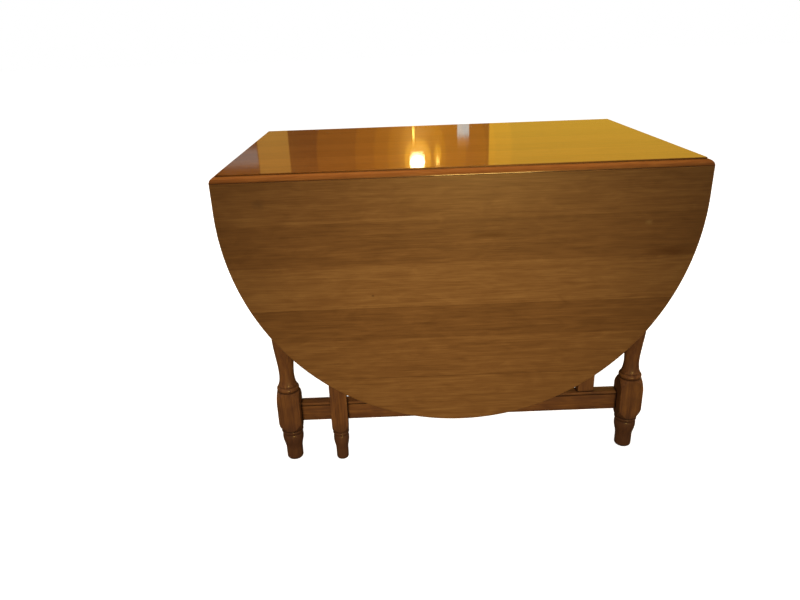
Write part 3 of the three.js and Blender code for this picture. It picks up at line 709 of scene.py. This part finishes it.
leaf_plate_reach = pin.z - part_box("front_hinge_1_leaf_plate")[0].z
top_plate_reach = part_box("front_hinge_1_top_plate")[1].y - pin.y
for i in (1, 2, 3):
    low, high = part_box(f"front_hinge_{i}_top_plate")
    middle = (low.x + high.x) / 2
    for k, (aside, share) in enumerate(SCREW_PLACES):
        under_top = Matrix.Translation((middle + aside, pin.y + share * top_plate_reach, low.z))
        on_leaf = Matrix.Translation((middle + aside, leaf_high.y, pin.z - share * leaf_plate_reach))
        on_leaf = on_leaf @ Matrix.Rotation(math.pi / 2, 4, "X")
        slot_turn = Matrix.Rotation(SCREW_TURNS[0] + SCREW_TURNS[1] * k + i, 4, "Z")
        for end, turn in (("front", Matrix()), ("rear", HALF_TURN)):
            for place, body, spot in (("top", "frame", under_top), ("leaf", f"{end}_leaf", on_leaf)):
                copy = placed(screw, f"hinge_screw_{end}_{i}_{place}_{k + 1}", slot_turn, spot, turn)
                copy.data.materials.append(brass)
                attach(copy, body)
bpy.data.objects.remove(screw)
for end in ("front", "rear"):
    for i in (1, 2, 3):
        paint(brass, f"{end}_hinge_{i}_top_plate", f"{end}_hinge_{i}_leaf_plate")


# ---- floor, light and camera ----
# A plain pale floor under a white surround, which the table sees as a dim warm room. One lamp
# lights the front, and soft boxes fill the top, the back and the ends. More boxes are there
# only to be mirrored in the polish, such as a lit wall, a doorway, a window and two lamps.

FLOOR_SIZE = 60
bpy.context.scene.view_settings.view_transform = "Standard"

bpy.ops.mesh.primitive_plane_add(size=FLOOR_SIZE)
floor = bpy.context.object
floor.name = "floor"
# A matt white that the camera sees glowing, and that throws only a warm brown light back.
floor_paint, tree, skin = new_material("matt_white_floor")
skin.inputs["Base Color"].default_value = (0.9, 0.9, 0.9, 1)
skin.inputs["Roughness"].default_value = 0.9
skin.inputs["Specular IOR Level"].default_value = 0
skin.inputs["Emission Color"].default_value = (1, 1, 1, 1)
skin.inputs["Emission Strength"].default_value = 0.8
rays = add(tree, "LightPath")
bounced = add(tree, "BsdfDiffuse", {"Color": linear("#54402d")})
shown = add(tree, "MixShader", {}, {0: rays.outputs["Is Camera Ray"], 1: bounced.outputs[0],
                                    2: skin.outputs[0]})
tree.links.new(shown.outputs[0], tree.nodes["Material Output"].inputs["Surface"])
floor.data.materials.append(floor_paint)

world = bpy.data.worlds.new("white_surround")
bpy.context.scene.world = world
world.use_nodes = True
tree = world.node_tree
sky = tree.nodes["Background"]
rays = add(tree, "LightPath")
room = add(tree, "MixRGB", {1: (0.30, 0.29, 0.28, 1), 2: linear("#4a3018")},
           {0: rays.outputs["Is Glossy Ray"]})
seen = add(tree, "MixRGB", {2: (1, 1, 1, 1)}, {0: rays.outputs["Is Camera Ray"], 1: room.outputs[0]})
tree.links.new(seen.outputs[0], sky.inputs["Color"])


def facing(place, aim):
    """The turn that points a lamp at the place towards the aim."""
    return (Vector(aim) - Vector(place)).to_track_quat("-Z", "Y")


def soft_box(name, place, aim, width, height, brightness, colour, shape="RECTANGLE"):
    """A flat light at a place, facing the aim, never seen by the camera itself."""
    light = bpy.data.lights.new(name, "AREA")
    light.shape = shape
    light.size = width
    light.size_y = height
    light.energy = brightness * math.pi * width * height
    light.color = linear(colour)[:3]
    lamp = bpy.data.objects.new(name, light)
    bpy.context.scene.collection.objects.link(lamp)
    lamp.location = place
    lamp.rotation_mode = "QUATERNION"
    lamp.rotation_quaternion = facing(place, aim)
    lamp.visible_camera = False
    return lamp


KEY_PLACE = (-0.1, -3.4, 1.7)
KEY_AIM = (-0.05, -0.35, 0.32)
key = bpy.data.lights.new("key", "SPOT")
key.energy = 430
key.color = linear("#fff0d8")[:3]
key.shadow_soft_size = 0.35
key.spot_size = math.radians(28)
key.spot_blend = 1
key_lamp = bpy.data.objects.new("key", key)
bpy.context.scene.collection.objects.link(key_lamp)
key_lamp.location = KEY_PLACE
key_lamp.rotation_mode = "QUATERNION"
key_lamp.rotation_quaternion = facing(KEY_PLACE, KEY_AIM)
key_lamp.visible_camera = False
key_lamp.visible_glossy = False

FILLS = [  # name, place, aim, width, height, brightness, colour
    ("overhead", (0, 0.1, 3.0), (0, 0, 0.7), 2.4, 1.8, 4.1, "#ffe7bd"),
    ("rear_fill", (0.2, 3.6, 0.95), (0, 0.35, 0.45), 2.2, 1.2, 6.5, "#fff0d8"),
    ("left_fill", (-3.4, 0.3, 0.95), (-0.5, 0, 0.45), 1.8, 1.2, 4.5, "#fff0dc"),
    ("right_fill", (3.4, 0.3, 0.95), (0.5, 0, 0.45), 1.8, 1.2, 4.5, "#fff0dc"),
]
for name, *settings in FILLS:
    fill = soft_box(name, *settings)
    fill.visible_glossy = False

MIRRORED = [  # name, middle across and up, width, height, brightness, colour, shape
    ("lit_wall", 2.28, 1.2, 3.6, 1.0, 0.82, "#e6bd38", "RECTANGLE"),
    ("window", -1.12, 1.18, 0.23, 0.11, 0.21, "#bff2ff", "RECTANGLE"),
    ("doorway", -0.90, 1.2, 0.20, 1.0, 0.36, "#ffc85a", "RECTANGLE"),
    ("switch_plate", 0.313, 1.05, 0.075, 0.09, 0.9, "#a8e4f0", "RECTANGLE"),
    ("switch_plate_frame", 0.313, 1.13, 0.07, 0.04, 0.2, "#f0c8a0", "RECTANGLE"),
    ("glow_1", 0.0, 1.2, 1.25, 1.4, 0.09, "#ffa000", "ELLIPSE"),
    ("glow_2", 0.07, 1.2, 0.90, 1.1, 0.07, "#ffa000", "ELLIPSE"),
    ("glow_3", 0.10, 1.2, 0.72, 0.9, 0.07, "#ffa800", "ELLIPSE"),
    ("glow_4", 0.08, 1.2, 0.50, 0.7, 0.09, "#ffb000", "ELLIPSE"),
    ("glow_5", 0.05, 1.2, 0.30, 0.5, 0.12, "#ffb818", "ELLIPSE"),
    ("glow_6", 0.02, 1.22, 0.17, 0.24, 0.6, "#ffc030", "ELLIPSE"),
    ("lamp", 0.016, 1.243, 0.095, 0.08, 14, "#ffe0a0", "ELLIPSE"),
    ("lamp_stem", -0.005, 1.06, 0.012, 0.07, 4, "#ffd060", "RECTANGLE"),
    ("small_lamp_glow", 0.146, 1.2, 0.05, 0.12, 0.5, "#ffc030", "ELLIPSE"),
    ("small_lamp", 0.146, 1.24, 0.024, 0.022, 4, "#ffd070", "ELLIPSE"),
]
BEHIND = 2.5
BETWEEN = 0.004  # two boxes in one plane hide each other, so each stands a little nearer
for i, (name, across, up, width, height, brightness, colour, shape) in enumerate(MIRRORED):
    back = BEHIND - i * BETWEEN
    card = soft_box(name, (across, back, up), (across, 0, up), width, height, brightness,
                    colour, shape)
    card.visible_diffuse = False

# the thin golden line along the top's moulded edge, from a box too low for the top to mirror
shine = soft_box("shine", (0.48, -3.4, 0.60), (0.4, -0.35, 0.72), 0.85, 0.26, 28, "#ffd070", "ELLIPSE")
shine.visible_diffuse = False

VIEW_PLACE = (-0.1469, -1.7004, 1.0048)
VIEW_YAW = 0.0048
VIEW_PITCH = 0.3906
VIEW_ROLL = -0.0362
camera = bpy.data.objects.new("camera", bpy.data.cameras.new("camera"))
bpy.context.scene.collection.objects.link(camera)
camera.data.lens = 29.03
camera.data.sensor_width = 36
turn = (Matrix.Rotation(-VIEW_YAW, 4, "Z") @ Matrix.Rotation(math.pi / 2 - VIEW_PITCH, 4, "X")
        @ Matrix.Rotation(VIEW_ROLL, 4, "Z"))
camera.matrix_world = Matrix.Translation(VIEW_PLACE) @ turn
bpy.context.scene.camera = camera
